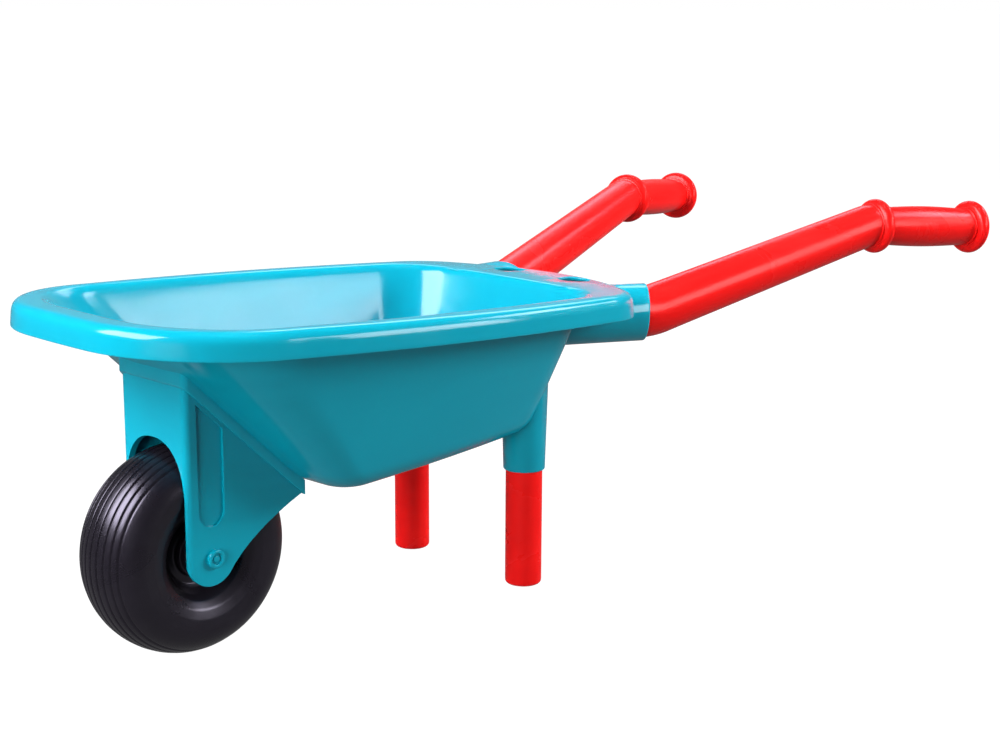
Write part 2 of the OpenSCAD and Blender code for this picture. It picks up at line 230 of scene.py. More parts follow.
CAMERA_PLACE = (856.1, -578.6, 392.6)
CAMERA_AZIMUTH = 45.26  # degrees from -Y towards +X
CAMERA_ELEVATION = 12.23
CAMERA_ROLL = 0.33
CAMERA_LENS = 62.85
CAMERA_SENSOR = 36
CAMERA_SHIFT = (0.00074, 0.0002)
CAMERA_CLIP = (0.05, 100)  # metres


def make_camera():
    az, el = math.radians(CAMERA_AZIMUTH), math.radians(CAMERA_ELEVATION)
    back = Vector((math.sin(az) * math.cos(el), -math.cos(az) * math.cos(el), math.sin(el)))
    right = Vector((math.cos(az), math.sin(az), 0))
    up = back.cross(right)
    turn = math.radians(CAMERA_ROLL)
    right, up = (
        right * math.cos(turn) + up * math.sin(turn),
        up * math.cos(turn) - right * math.sin(turn),
    )
    data = bpy.data.cameras.new("camera")
    data.lens = CAMERA_LENS
    data.sensor_width = CAMERA_SENSOR
    data.shift_x, data.shift_y = CAMERA_SHIFT
    data.clip_start, data.clip_end = CAMERA_CLIP
    cam = bpy.data.objects.new("camera", data)
    bpy.context.scene.collection.objects.link(cam)
    m = Matrix((right, up, back)).transposed().to_4x4()
    m.translation = Vector(to_row(CAMERA_PLACE))
    cam.matrix_world = m
    bpy.context.scene.camera = cam


make_camera()

# ---------------------------------------------------------------- materials


class Nodes:
    """A short way to build a material's node tree."""

    def __init__(self, name):
        self.material = bpy.data.materials.new(name)
        self.material.use_nodes = True
        self.tree = self.material.node_tree
        self.tree.nodes.clear()
        self.out = self.add("ShaderNodeOutputMaterial")
        self.shader = self.add("ShaderNodeBsdfPrincipled")
        self.link(self.shader.outputs["BSDF"], self.out.inputs["Surface"])
        self.coords = self.add("ShaderNodeTexCoord").outputs["Object"]

    def add(self, kind, **values):
        node = self.tree.nodes.new(kind)
        for key, value in values.items():
            setattr(node, key, value)
        return node

    def link(self, a, b):
        self.tree.links.new(a, b)

    def place(self, scale):
        node = self.add("ShaderNodeMapping")
        node.inputs["Scale"].default_value = scale
        self.link(self.coords, node.inputs["Vector"])
        return node.outputs["Vector"]

    def noise(self, scale, detail=4, roughness=0.5, distortion=0.0, at=None):
        node = self.add("ShaderNodeTexNoise")
        node.inputs["Scale"].default_value = scale
        node.inputs["Detail"].default_value = detail
        node.inputs["Roughness"].default_value = roughness
        node.inputs["Distortion"].default_value = distortion
        self.link(at or self.coords, node.inputs["Vector"])
        return node.outputs["Fac"]

    def remap(self, value, low, high, out_low, out_high):
        node = self.add("ShaderNodeMapRange")
        node.interpolation_type = "SMOOTHSTEP"
        for name, v in zip(("From Min", "From Max", "To Min", "To Max"), (low, high, out_low, out_high)):
            node.inputs[name].default_value = v
        self.link(value, node.inputs["Value"])
        return node.outputs["Result"]

    def math(self, operation, a, b=0.0):
        node = self.add("ShaderNodeMath", operation=operation)
        for socket, v in zip(node.inputs, (a, b)):
            if isinstance(v, (int, float)):
                socket.default_value = v
            else:
                self.link(v, socket)
        return node.outputs["Value"]

    def mix(self, factor, a, b):
        node = self.add("ShaderNodeMix", data_type="RGBA")
        self.link(factor, node.inputs["Factor"])
        # the node has sockets of one name for every data type, so its colour sockets go by number
        colour_a, colour_b, colour_out = node.inputs[6], node.inputs[7], node.outputs[2]
        for socket, v in ((colour_a, a), (colour_b, b)):
            if isinstance(v, tuple):
                socket.default_value = (*v, 1)
            else:
                self.link(v, socket)
        return colour_out

    def bump(self, height, strength, distance, normal=None):
        node = self.add("ShaderNodeBump")
        node.inputs["Strength"].default_value = strength
        node.inputs["Distance"].default_value = distance
        self.link(height, node.inputs["Height"])
        if normal:
            self.link(normal, node.inputs["Normal"])
        return node.outputs["Normal"]

    def set(self, **values):
        for name, value in values.items():
            socket = self.shader.inputs[name.replace("_", " ")]
            if isinstance(value, (int, float, tuple)):
                socket.default_value = value
            else:
                self.link(value, socket)


def gloss_plastic(name, deep, plain, pale, roughness, gloss, seed):
    """Glossy moulded plastic: pigment that varies a little with the flow, faint haze in its gloss,
    the soft waviness of a moulded wall, a fine orange peel and a little light under its skin."""
    n = Nodes(name)
    flow = n.noise(9 + seed, detail=3, distortion=1.2, at=n.place((1, 0.45, 1.6)))
    pigment = n.noise(120, detail=5, roughness=0.6)
    colour = n.mix(n.remap(flow, 0.3, 0.7, 0, 1), deep, plain)
    colour = n.mix(n.remap(pigment, 0.55, 0.8, 0, 0.2), colour, pale)
    smears = n.noise(14, detail=5, roughness=0.6, distortion=0.8)
    rough = n.math("ADD", n.remap(smears, 0.35, 0.75, -0.03, 0.05), roughness)
    soft = n.noise(22 + seed, detail=2, roughness=0.4)
    peel = n.noise(900, detail=2, roughness=0.5)
    normal = n.bump(soft, 0.08, 0.0012)
    normal = n.bump(peel, 0.05, 0.00012, normal)
    n.set(Base_Color=colour, Roughness=rough, Normal=normal, IOR=1.49, Specular_IOR_Level=gloss,
          Subsurface_Weight=0.12, Subsurface_Radius=deep, Subsurface_Scale=0.004)
    return n.material


TEAL = gloss_plastic("teal_plastic", deep=(0.001, 0.29, 0.395), plain=(0.0015, 0.32, 0.43),
                     pale=(0.006, 0.36, 0.47), roughness=0.14, gloss=0.42, seed=0)
RED = gloss_plastic("red_plastic", deep=(0.86, 0.006, 0.006), plain=(0.93, 0.009, 0.008),
                    pale=(0.95, 0.02, 0.02), roughness=0.27, gloss=0.22, seed=3)


def tyre_plastic():
    """Black moulded plastic with a satin surface, fine grain and a little dust."""
    n = Nodes("black_plastic")
    grain = n.noise(1400, detail=2, roughness=0.6)
    cloud = n.noise(16, detail=5, roughness=0.6, distortion=0.7)
    dust = n.noise(260, detail=6, roughness=0.7)
    colour = n.mix(n.remap(cloud, 0.35, 0.7, 0, 1), (0.0045, 0.0035, 0.006), (0.008, 0.0068, 0.010))
    colour = n.mix(n.remap(dust, 0.6, 0.8, 0, 0.22), colour, (0.05, 0.046, 0.052))
    rough = n.math("ADD", n.remap(cloud, 0.3, 0.75, 0.25, 0.35), n.remap(dust, 0.5, 0.8, 0, 0.08))
    normal = n.bump(grain, 0.04, 0.00016)
    normal = n.bump(n.noise(30, detail=2), 0.10, 0.0010, normal)
    n.set(Base_Color=colour, Roughness=rough, Normal=normal, IOR=1.5, Specular_IOR_Level=0.75,
          Specular_Tint=(0.86, 0.80, 1.0, 1))
    return n.material


BLACK = tyre_plastic()


def bush_plastic():
    """Hard dark grey plastic, turned smooth by the axle."""
    n = Nodes("grey_plastic")
    rub = n.noise(300, detail=5, roughness=0.65, at=n.place((6, 1, 1)))
    colour = n.mix(n.remap(rub, 0.35, 0.7, 0, 1), (0.045, 0.041, 0.052), (0.075, 0.07, 0.085))
    n.set(Base_Color=colour, Roughness=n.remap(rub, 0.3, 0.8, 0.28, 0.45),
          Normal=n.bump(rub, 0.12, 0.0002), IOR=1.5)
    return n.material


GREY = bush_plastic()

# ---------------------------------------------------------------- the tub

RIM_SLOPE = 0.047
RIM_Z0 = 213.8
FLOOR_SLOPE = 0.0785
FLOOR_Z0 = 91.2
TUB_WALL = 2.4
SKIRT_H = 16.0
SKIRT_FLARE = 1.6
EDGE_R = 7.5
LIP_R = 5.0
FLOOR_CORNER = 12.0
# Shares of the wall's height: the floor's rounded corner ends, the fillet under the rim starts and has
# its corner, and the rim's rounded inner edge ends
CORNER_UP = 0.12
UNDER_RIM, UNDER_RIM_CORNER = 0.95, 0.985
LIP_DOWN = 0.94
# [half width, bow, front y, rear y, front radius, rear radius, front sweep, rear sweep]
RIM = (112, 8.2, -79, 333, 84, 54, 2, 30)
MOUTH = (99, 5.4, -59.4, 280.4, 68, 40, 3, 6)
FLOOR = (70.5, 2, 69.8, 246.8, 22, 32, 2, 2)
ARC_STEPS, SIDE_STEPS, END_STEPS = 22, 26, 9


def inset(o, d):
    """The values of an outline that lies d further in, all the way round."""
    return (o[0] - d, o[1], o[2] + d, o[3] - d, max(o[4] - d, 3), max(o[5] - d, 3), o[6], o[7])


def outline(o):
    """A closed outline in plan: rounded corners, bowed sides and swept ends."""
    half_w, bow, front, rear, rf, rr, sf, sr = o
    sf, sr = math.radians(sf), math.radians(sr)
    fx = half_w - rf + rf * math.sin(sf)
    rx = half_w - rr + rr * math.sin(sr)
    fc = front + fx * math.tan(sf) / 2 + rf * math.cos(sf)
    rc = rear - rx * math.tan(sr) / 2 - rr * math.cos(sr)
    half = []
    for i in range(END_STEPS):
        s = i / END_STEPS
        half.append((fx * s, front + fx * math.tan(sf) / 2 * s * s))
    for i in range(ARC_STEPS + 1):
        a = sf + (math.pi / 2 - sf) * i / ARC_STEPS
        half.append((half_w - rf + rf * math.sin(a), fc - rf * math.cos(a)))
    for i in range(1, SIDE_STEPS + 1):
        s = i / (SIDE_STEPS + 1)
        half.append((half_w + 4 * bow * s * (1 - s), fc + (rc - fc) * s))
    for i in range(ARC_STEPS + 1):
        a = (math.pi / 2 - sr) * i / ARC_STEPS
        half.append((half_w - rr + rr * math.cos(a), rc + rr * math.sin(a)))
    for i in range(1, END_STEPS + 1):
        s = 1 - i / END_STEPS
        half.append((rx * s, rear - rx * math.tan(sr) / 2 * s * s))
    full = np.array(half + [(-x, y) for x, y in half[-2:0:-1]])
    return smooth_loop(full, passes=3)


def smooth_loop(points, passes):
    """Eases the joints between arcs and sides of a closed loop, without shrinking it to speak of."""
    p = points.copy()
    for _ in range(passes):
        for weight in (0.5, -0.51):
            around = (np.roll(p, 1, 0) + np.roll(p, -1, 0)) / 2
            p = p + weight * (around - p)
    return p


def rim_ring(o, depth):
    """An outline laid on the sloping top of the rim, or so deep below it."""
    p = outline(o)
    return np.column_stack([p, RIM_Z0 - RIM_SLOPE * p[:, 1] - depth])


def floor_ring(o, up):
    """An outline laid on the sloping underside of the floor, or so far above it."""
    p = outline(o)
    return np.column_stack([p, FLOOR_Z0 + FLOOR_SLOPE * p[:, 1] + up])


def mix(a, b, t):
    return a * (1 - t) + b * t


def blend(a, b, c, steps):
    """Rings of a rounded corner that leaves a towards b and arrives at c."""
    return [mix(mix(a, b, k / steps), mix(b, c, k / steps), k / steps) for k in range(steps + 1)]


def wall_bottom(d, steps=14):
    """Rings of the rounded corner between floor and wall, d inside the tub's outer skin."""
    top, foot = rim_ring(inset(MOUTH, d), 0), floor_ring(inset(FLOOR, d), d)
    return blend(floor_ring(inset(FLOOR, d + FLOOR_CORNER), d), foot, mix(foot, top, CORNER_UP), steps)


def wall_at(d, up):
    """A ring of the wall, d inside the outer skin and from 0 at its foot to 1 at its top."""
    return mix(floor_ring(inset(FLOOR, d), d), rim_ring(inset(MOUTH, d), 0), up)


def wall(d, low, high, count):
    """Evenly spread rings of the wall between two heights."""
    return [wall_at(d, low + (high - low) * k / count) for k in range(1, count)]


def inner_floor(d):
    """Rings that close a floor inwards, so that only a strip in its middle is one flat face."""
    steps_in = (3, 8, 14, 22, 32, 42)
    return [floor_ring(inset(FLOOR, d + FLOOR_CORNER + step), d) for step in steps_in]


def skirt_ring(inwards, depth):
    """The skirt leans out towards its foot."""
    return rim_ring(inset(RIM, inwards - SKIRT_FLARE * depth / SKIRT_H), depth)


def tub_shell():
    edge = 0.8  # rounding of the skirt's lower edge
    under = 3.5  # fillet between the wall and the underside of the rim
    root = 3.0  # fillet between the underside of the rim and the skirt
    inside_middle, outside_middle = 9, (13, 10)  # depths of the plain rings on the skirt's two sides
    rings = list(reversed(inner_floor(0)))
    rings += wall_bottom(0)
    rings += wall(0, CORNER_UP, UNDER_RIM, 14)
    rings += blend(wall_at(0, UNDER_RIM), wall_at(0, UNDER_RIM_CORNER),
                   rim_ring(inset(MOUTH, -under), TUB_WALL), 4)
    rings += blend(skirt_ring(TUB_WALL + root, TUB_WALL), skirt_ring(TUB_WALL, TUB_WALL),
                   skirt_ring(TUB_WALL, TUB_WALL + root), 4)
    rings += [skirt_ring(TUB_WALL, inside_middle)]
    rings += blend(skirt_ring(TUB_WALL, SKIRT_H - edge), skirt_ring(TUB_WALL, SKIRT_H),
                   skirt_ring(TUB_WALL - edge, SKIRT_H), 3)
    rings += blend(skirt_ring(edge, SKIRT_H), skirt_ring(0, SKIRT_H),
                   skirt_ring(0, SKIRT_H - edge), 3)
    rings += [skirt_ring(0, depth) for depth in outside_middle]
    rings += blend(skirt_ring(0, EDGE_R), rim_ring(RIM, 0), rim_ring(inset(RIM, EDGE_R), 0), 9)
    rings += blend(rim_ring(inset(MOUTH, TUB_WALL - LIP_R), 0), rim_ring(inset(MOUTH, TUB_WALL), 0),
                   wall_at(TUB_WALL, LIP_DOWN), 9)
    rings += list(reversed(wall(TUB_WALL, CORNER_UP, LIP_DOWN, 14)))
    rings += list(reversed(wall_bottom(TUB_WALL)))
    rings += inner_floor(TUB_WALL)
    return ring_object("tub", rings)


def tub_inside():
    """Everything inside the middle of the wall, where the sockets, sleeves and frame stop."""
    d = TUB_WALL / 2
    above = 20
    rings = list(reversed(inner_floor(d))) + wall_bottom(d) + wall(d, CORNER_UP, 1, 8)
    rings += [rim_ring(inset(MOUTH, d), 0), rim_ring(inset(MOUTH, d), -above)]
    return ring_object("inside", rings)


# Each socket and its handle share an upright plane that spreads outwards to the rear
SOCKET_MOUTH = Vector((71.7, 341.4, 177.6))
HANDLE_SPREAD = math.radians(14.4)
SOCKET_FALL = math.radians(2.5)
SOCKET_R = 20.0
SOCKET_LEN = 74.0
MOUTH_TURN = math.radians(24)
PLUG_LEN = 58.0
BEND_OUT = 3.0
TUBE_D, TUBE_END_D = 35.9, 31.4
TUBE_LEN = 204.4
TUBE_RISE = math.radians(13.7)
GRIP_FALL = math.radians(3.8)
GRIP_LEN = 103.4
COLLAR_AT = 8.0
COLLAR_R = 20.28
RING_HALF_W = 4.6
GRIP_R, GRIP_END_R = 15.4, 14.0
FIT_GAP = 0.15

HANDLE_PLANE = Matrix.Translation(SOCKET_MOUTH) @ Matrix.Rotation(-HANDLE_SPREAD, 4, "Z")


def sweep(name, centres, tangents, radii, steps=72):
    """A round bar along a line in the handle's plane: Y along, Z up. Its ends are closed."""
    rings = []
    for c, t, r in zip(centres, tangents, radii):
        up = Vector((0, -t[1], t[0]))
        ring = []
        for i in range(steps):
            a = 2 * math.pi * i / steps
            p = Vector((0, c[0], c[1])) + Vector((1, 0, 0)) * (r * math.cos(a)) + up * (r * math.sin(a))
            ring.append(HANDLE_PLANE @ p)
        rings.append([tuple(p) for p in ring])
    return ring_object(name, rings)


def socket():
    """The socket's outside, with a rounded mouth that is cut off at a slant."""
    edge = 1.3
    steps = 96
    turn = math.tan(MOUTH_TURN)
    axis = Matrix.Rotation(-SOCKET_FALL - math.pi / 2, 4, "X")
    rings = []
    # radius, distance along, and how much of the slant a ring has
    profile = [(SOCKET_R, -SOCKET_LEN, 0.0), (SOCKET_R, -50, 0.0), (SOCKET_R, -25, 0.6),
               (SOCKET_R, -8, 1.0)]
    for k in range(6):
        a = math.pi / 2 * k / 5
        profile.append((SOCKET_R - edge + edge * math.cos(a), -edge + edge * math.sin(a), 1.0))
    # the flat mouth, which the handle's bore cuts open
    profile += [(SOCKET_R - 3, 0, 1.0), (6, 0, 1.0)]
    for r, along, slant in profile:
        ring = []
        for i in range(steps):
            a = 2 * math.pi * i / steps
            x, y = r * math.cos(a), r * math.sin(a)
            ring.append(tuple(HANDLE_PLANE @ (axis @ Vector((x, y, along - slant * turn * x)))))
        rings.append(ring)
    return ring_object("socket", rings)


def handle_bore():
    """Room for the handle's plug in its socket, cut on past the slanted mouth."""
    r = TUBE_D / 2 + FIT_GAP
    half_way, past_mouth = -30, 14
    fall = (math.cos(SOCKET_FALL), -math.sin(SOCKET_FALL))
    places = [-PLUG_LEN, half_way, BEND_OUT, BEND_OUT + past_mouth]
    centres = [(fall[0] * s, fall[1] * s) for s in places]
    return sweep("bore", centres, [fall] * len(places), [r] * len(places), 96)


LEG_X, LEG_Y, LEG_D = 56.9, 237.5, 24.9
LEG_TOP = 105.5
SLEEVE_R, SLEEVE_Z = 14.1, 80.9


def upright(x, y):
    return Matrix.Translation((x, y, 0))


def sleeve():
    """The outside of a leg's sleeve. It runs up into the bowl, where tub_inside() cuts it off."""
    height, draft, edge = 65, 1.8, 1.1
    profile = rounded([(0, SLEEVE_Z), (SLEEVE_R, SLEEVE_Z), (SLEEVE_R + draft, SLEEVE_Z + height),
                       (0, SLEEVE_Z + height)], [0, edge, 0, 0])
    return lathe("sleeve", profile, upright(LEG_X, LEG_Y), 96)


def leg_bore():
    """Room for the leg in its sleeve, with a chamfered mouth."""
    edge = 0.7
    below = 3
    r = LEG_D / 2 + FIT_GAP
    profile = [(0, SLEEVE_Z - below), (r + below, SLEEVE_Z - below), (r + edge, SLEEVE_Z),
               (r, SLEEVE_Z + edge), (r, LEG_TOP), (0, LEG_TOP)]
    return lathe("leg_bore", profile, upright(LEG_X, LEG_Y), 96)


TOOL_HOLE_X, TOOL_HOLE_Y, TOOL_HOLE_R = 32.0, 311.5, 11.0


def tool_hole():
    """A cutter that leaves a hole with softly rounded edges above and below."""
    edge = 0.8
    past = 4
    r = TOOL_HOLE_R
    brim = r + edge + 0.6
    half = TUB_WALL / 2
    side = [(r, 0)]
    for k in range(6):
        a = math.pi / 2 * k / 5
        side.append((r + edge * (1 - math.cos(a)), half - edge + edge * math.sin(a)))
    side.append((brim, half + 0.05))
    side.append((brim, half + past))
    profile = [(0, half + past)] + side[::-1] + [(q, -h) for q, h in side[1:]] + [(0, -half - past)]
    z = RIM_Z0 - RIM_SLOPE * TOOL_HOLE_Y - half
    tilt = Matrix.Rotation(-math.atan(RIM_SLOPE), 4, "X")
    return lathe("tool_hole", profile, Matrix.Translation((TOOL_HOLE_X, TOOL_HOLE_Y, z)) @ tilt, 72)


# The raised frame on the sloping front wall, which the fork sits on
WALL_TOP_Z = RIM_Z0 - RIM_SLOPE * MOUTH[2]
WALL_SLOPE = (WALL_TOP_Z - FLOOR_Z0 - FLOOR_SLOPE * FLOOR[2]) / (FLOOR[2] - MOUTH[2])
WALL_ANGLE = math.atan(WALL_SLOPE)
PAD_H, PAD_OVER = 5.6, 1.6
PAD_FRONT_Y, PAD_REAR_Y = -19.8, 67.5
FORK_HALF_W, FORK_WALL, FORK_FRONT_Y, FORK_EDGE_R = 32.9, 2.5, -18.6, 4.0


def wall_z(y):
    """Height of the sloping front wall's outer skin, as a straight line from floor to rim."""
    return WALL_TOP_Z - WALL_SLOPE * (y - MOUTH[2])


def seam_z(y):
    """Height of the raised frame's face, which the fork's plate lies on."""
    return wall_z(y) - PAD_H / math.cos(WALL_ANGLE)


def plan_outline(half_w, front_y, rear_y, r, steps=8):
    """A U-shaped block in plan with rounded front corners, as a closed loop."""
    pts = [(half_w, rear_y)]
    for k in range(steps + 1):
        a = -math.pi / 2 * k / steps
        pts.append((half_w - r + r * math.cos(a), front_y + r + r * math.sin(a)))
    return pts + [(-x, y) for x, y in reversed(pts)]


def front_frame():
    """The rails of the frame, with a softly rounded lower edge, and open in the middle."""
    edge = 0.6
    rail = FORK_WALL + 1.2
    hole_r, hole_below = 1.5, 2
    lift = TUB_WALL * 0.6 / math.cos(WALL_ANGLE)

    def block(name, half_w, front, rear, r, low, high, soft):
        rings = []
        for inward, up in soft:
            loop = []
            for x, y in plan_outline(half_w - inward, front + inward, rear - inward, r):
                loop.append((x, y, low(y) + up))
            rings.append(loop)
        rings.append([(x, y, high(y)) for x, y in plan_outline(half_w, front, rear, r)])
        return ring_object(name, rings)

    soft = [(edge, 0), (edge * 0.3, edge * 0.3), (0, edge)]
    outer = block("frame", FORK_HALF_W + PAD_OVER, PAD_FRONT_Y, PAD_REAR_Y, FORK_EDGE_R,
                  seam_z, lambda y: wall_z(y) + lift, soft)
    inner = block("frame_hole", FORK_HALF_W + PAD_OVER - rail, PAD_FRONT_Y + rail, PAD_REAR_Y - rail,
                  hole_r, lambda y: seam_z(y) - hole_below, wall_z, [(0, 0)])
    return boolean(outer, inner, "DIFFERENCE")


def make_tub():
    shell = tub_shell()
    one_side = [socket(), sleeve()]
    extras = join("extras", one_side + [mirrored(o.name, o) for o in one_side] + [front_frame()])
    boolean(extras, tub_inside(), "DIFFERENCE")
    boolean(shell, extras, "UNION")
    cutters = [handle_bore(), leg_bore(), tool_hole()]
    boolean(shell, join("cutters", cutters + [mirrored(o.name, o) for o in cutters]), "DIFFERENCE")
    shade(shell, 32)
    finish_piece(shell, TEAL, "barrow", "teal_plastic", "tub")


make_tub()

# ---------------------------------------------------------------- the handles


def grip_profile():
    """Collar, barrel grip and end flange: distances from the collar's middle, and radii."""

    def turned_ring(at):
        """The rounded edge of the collar or of the end flange."""
        ring = []
        for k in range(13):
            a = math.radians(-78 + 13 * k)
            ring.append((at + RING_HALF_W * math.sin(a), COLLAR_R - RING_HALF_W * (1 - math.cos(a))))
        return ring

    neck, end_r = TUBE_END_D / 2, GRIP_END_R
    step = 1.1  # height of the thin ring in front of the collar and of the flange
    flange_at = GRIP_LEN - RING_HALF_W - 1
    line_at = flange_at - RING_HALF_W - 2
    barrel = (RING_HALF_W + 0.8, line_at - 0.6)
    profile = rounded([(-6.3, neck), (-6.0, neck + step), (-5.2, neck + step), (-4.9, neck + step / 2)],
                      [0, 0.3, 0.3, 0], 3).tolist()
    profile += turned_ring(0)
    for k in range(25):
        s = k / 24
        radius = end_r + (GRIP_R - end_r) * math.sin(math.pi * s)
        profile.append((barrel[0] + (barrel[1] - barrel[0]) * s, radius))
    profile += rounded([(line_at - 0.3, end_r), (line_at, end_r + step), (line_at + 1.5, end_r + step),
                        (line_at + 1.7, end_r + step / 2)], [0, 0.3, 0.3, 0], 3).tolist()
    profile += turned_ring(flange_at)
    # the slightly domed end
    for share in (0.7, 0.45, 0.2, 0.05):
        profile.append((GRIP_LEN - 0.9 * share**1.5, COLLAR_R * share))
    return profile


def handle_line():
    """Centres, directions and radii from the plug's end to the end of the grip."""
    y, z = -PLUG_LEN * math.cos(SOCKET_FALL), PLUG_LEN * math.sin(SOCKET_FALL)
    r = TUBE_D / 2
    centres, tangents, radii = [], [], []

    def put(y, z, angle, radius):
        centres.append((y, z))
        tangents.append((math.cos(angle), math.sin(angle)))
        radii.append(radius)

    def bend(y, z, before, after, reach, radius):
        """An eased bend at a corner of the line."""
        start = (y - reach * math.cos(before), z - reach * math.sin(before))
        end = (y + reach * math.cos(after), z + reach * math.sin(after))
        steps = 12
        for k in range(steps + 1):
            t = k / steps
            put((1 - t) ** 2 * start[0] + 2 * t * (1 - t) * y + t * t * end[0],
                (1 - t) ** 2 * start[1] + 2 * t * (1 - t) * z + t * t * end[1],
                before + (after - before) * t, radius)

    rounded_end = ((1.4, 0.0), (0.4, 0.4), (0.0, 1.4))
    for inward, back in rounded_end:
        put(y + back, z, -SOCKET_FALL, r - inward)
    for share in (0.3, 0.6, 0.85):
        put(y * (1 - share), z * (1 - share), -SOCKET_FALL, r)
    bend_y, bend_z = BEND_OUT * math.cos(SOCKET_FALL), -BEND_OUT * math.sin(SOCKET_FALL)
    lower_reach, upper_reach = 9.0, 2.6
    upper_bend = upper_reach - 1.0
    bend(bend_y, bend_z, -SOCKET_FALL, TUBE_RISE, lower_reach, r)
    run = TUBE_LEN - lower_reach - upper_reach
    parts = 20
    for k in range(1, parts):
        s = lower_reach + run * k / parts
        radius = r + (TUBE_END_D / 2 - r) * s / TUBE_LEN
        put(bend_y + s * math.cos(TUBE_RISE), bend_z + s * math.sin(TUBE_RISE), TUBE_RISE, radius)
    grip_y = bend_y + TUBE_LEN * math.cos(TUBE_RISE)
    grip_z = bend_z + TUBE_LEN * math.sin(TUBE_RISE)
    bend(grip_y, grip_z, TUBE_RISE, -GRIP_FALL, upper_bend, TUBE_END_D / 2)
    for along, radius in grip_profile():
        s = COLLAR_AT + along
        put(grip_y + s * math.cos(GRIP_FALL), grip_z - s * math.sin(GRIP_FALL), -GRIP_FALL, radius)
    return centres, tangents, radii


def make_handles():
    left = sweep("handle_left_visual", *handle_line())
    finish_pair(left, "handle", RED, "barrow", "red_plastic")


make_handles()

# ---------------------------------------------------------------- the legs


def make_legs():
    """Straight bars with a rounded foot. Their feet and sides are divided into even rows."""
    r = LEG_D / 2
    foot_edge, top_edge = 3.0, 0.8
    side_rows = 8
    profile = rounded([(0, 0), (r, 0), (r, LEG_TOP), (0, LEG_TOP)], [0, foot_edge, top_edge, 0], 7)
    foot = [(share * (r - foot_edge), 0) for share in (0, 0.35, 0.7)]
    body = [tuple(p) for p in profile[1:-1]]
    side = []
    for a, b in zip(body, body[1:]):
        side.append(a)
        if abs(b[1] - a[1]) > LEG_TOP / 2:
            side += [(a[0], a[1] + (b[1] - a[1]) * k / side_rows) for k in range(1, side_rows)]
    side.append(body[-1])
    left = lathe("leg_left_visual", foot + side + [(0, LEG_TOP)], upright(LEG_X, LEG_Y), 72)
    finish_pair(left, "leg", RED, "barrow", "red_plastic")


make_legs()

# ---------------------------------------------------------------- the wheel

TYRE_MID_R = WHEEL_R - 19.2
TYRE_POWER = 2.0
GROOVE_DEPTH = 0.9
GROOVE_HALF_W = 0.52
SIDE_GROOVES = 4
BOSS_R, BOSS_X = 15.0, 18.0
HUB_HOLE_R = 8.05
ACROSS = Matrix.Translation((0, 0, AXLE_Z)) @ Matrix.Rotation(math.pi / 2, 4, "Y")


def tread_r(x):
    """Radius of the tyre at a distance from its middle, without its grooves."""
    side = (abs(x) / WHEEL_HALF_W) ** TYRE_POWER
    return TYRE_MID_R + (WHEEL_R - TYRE_MID_R) * (1 - min(side, 1)) ** (1 / TYRE_POWER)


def groove_x(i):
    """The grooves lie a little closer together towards the side."""
    return 5.7 * i - 0.036 * i**3


def wheel_profile():
    """Half of the tyre's section from the middle of the tread to the hub's hole, with soft grooves."""
    grooves = [groove_x(i) for i in range(SIDE_GROOVES + 1)]
    # the tread's rows are even; beyond that share of the half width they follow the round shoulder
    tread_share, shoulder_degrees, shoulder_rows = 0.955, 17, 12
    xs = set(np.linspace(0, WHEEL_HALF_W * tread_share, 60).tolist())
    # more rows round each groove
    for g in grooves:
        for off in (-1.5, -1.1, -0.8, -0.6, -0.45, -0.3, -0.15, 0, 0.15, 0.3, 0.45, 0.6, 0.8, 1.1, 1.5):
            if g + off >= 0:
                xs.add(g + off)
    half = []
    for x in sorted(xs):
        r = tread_r(x)
        for g in grooves:
            r -= GROOVE_DEPTH / (1 + (abs(x - g) / GROOVE_HALF_W) ** 4)
        half.append((r, x))
    for k in range(1, shoulder_rows + 1):
        a = math.radians(shoulder_degrees * (1 - k / shoulder_rows))
        half.append((TYRE_MID_R + (WHEEL_R - TYRE_MID_R) * math.sin(a) ** (2 / TYRE_POWER),
                     WHEEL_HALF_W * math.cos(a) ** (2 / TYRE_POWER)))
    # the dished side, from the tyre down to the boss round the hub's hole
    corners = [(TYRE_MID_R, WHEEL_HALF_W), (39, 28.4), (33, 26.6), (28.4, 23.6), (25.2, 19.4),
               (22.6, 14), (20, 12), (BOSS_R, 12), (BOSS_R, BOSS_X), (HUB_HOLE_R, BOSS_X)]
    dish = rounded(corners, [0, 9, 9, 6, 6, 3, 2.0, 1.8, 1.2, 0], 6)
    half += [tuple(p) for p in dish[1:]]
    return half


def make_wheel():
    half = wheel_profile()
    profile = [(r, -x) for r, x in reversed(half[1:])] + half
    wheel = lathe("wheel_visual", profile, ACROSS, 220)
    shade(wheel, 50)
    finish_piece(wheel, BLACK, "wheel", "black_plastic", "wheel")


def make_bushes():
    """Bushes at both ends of the hub's hole: a plug, a flange on the boss and a neck towards the fork."""
    bush_end = FORK_HALF_W - FORK_WALL - 0.4
    bore_r, plug_r, flange_r, neck_r = 4.06, 8, 11, 6.4
    plug_start, flange_end = BOSS_X - 9, BOSS_X + 2
    corners = [(bore_r, plug_start), (plug_r, plug_start), (plug_r, BOSS_X), (flange_r, BOSS_X),
               (flange_r, flange_end), (neck_r, flange_end), (neck_r, bush_end), (bore_r, bush_end),
               (bore_r, bush_end - 1)]
    bush = rounded(corners, [0, 0.3, 0, 0.5, 0.6, 0.9, 0.5, 0.3, 0], 4)
    left = lathe("hub_bush_left_visual", bush, ACROSS, 64)
    finish_pair(left, "hub_bush", GREY, "wheel", "grey_plastic")


make_wheel()
make_bushes()

# ---------------------------------------------------------------- the fork


